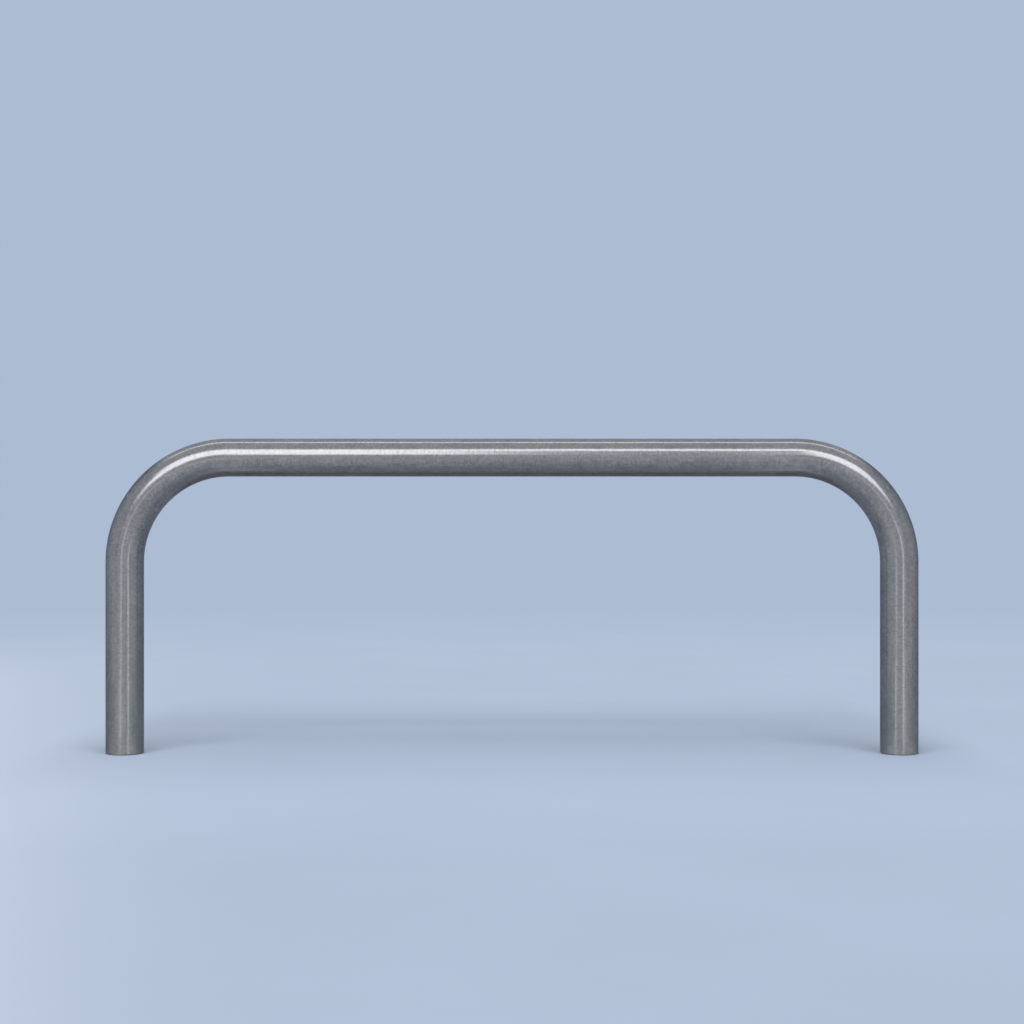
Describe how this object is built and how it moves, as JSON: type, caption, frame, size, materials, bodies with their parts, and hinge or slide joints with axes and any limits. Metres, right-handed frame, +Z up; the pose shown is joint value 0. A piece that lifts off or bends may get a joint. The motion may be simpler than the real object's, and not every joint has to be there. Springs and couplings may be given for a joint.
{
  "type": "hoop barrier",
  "caption": "Low street hoop barrier: a round steel tube bent into a hoop, standing on concealed spigots that are anchored to the ground.",
  "frame": {"origin": "at ground level, midway between the two legs", "axes": "+X along the rail, +Y towards the back where the screws are, +Z up"},
  "size_m": [1.0334, 0.0482, 0.4],
  "materials": {
    "hoop_steel": "satin, brushed round the tube",
    "spigot_steel": "turned, bright",
    "screw_steel": "plain stainless"
  },
  "bodies": {
    "root": {"hoop_tube": "hoop_steel", "left_spigot_base": "spigot_steel", "left_spigot_sleeve": "spigot_steel", "right_spigot_base": "spigot_steel", "right_spigot_sleeve": "spigot_steel", "left_lower_screw": "screw_steel", "left_upper_screw": "screw_steel", "right_lower_screw": "screw_steel", "right_upper_screw": "screw_steel"}
  },
  "joints": []
}
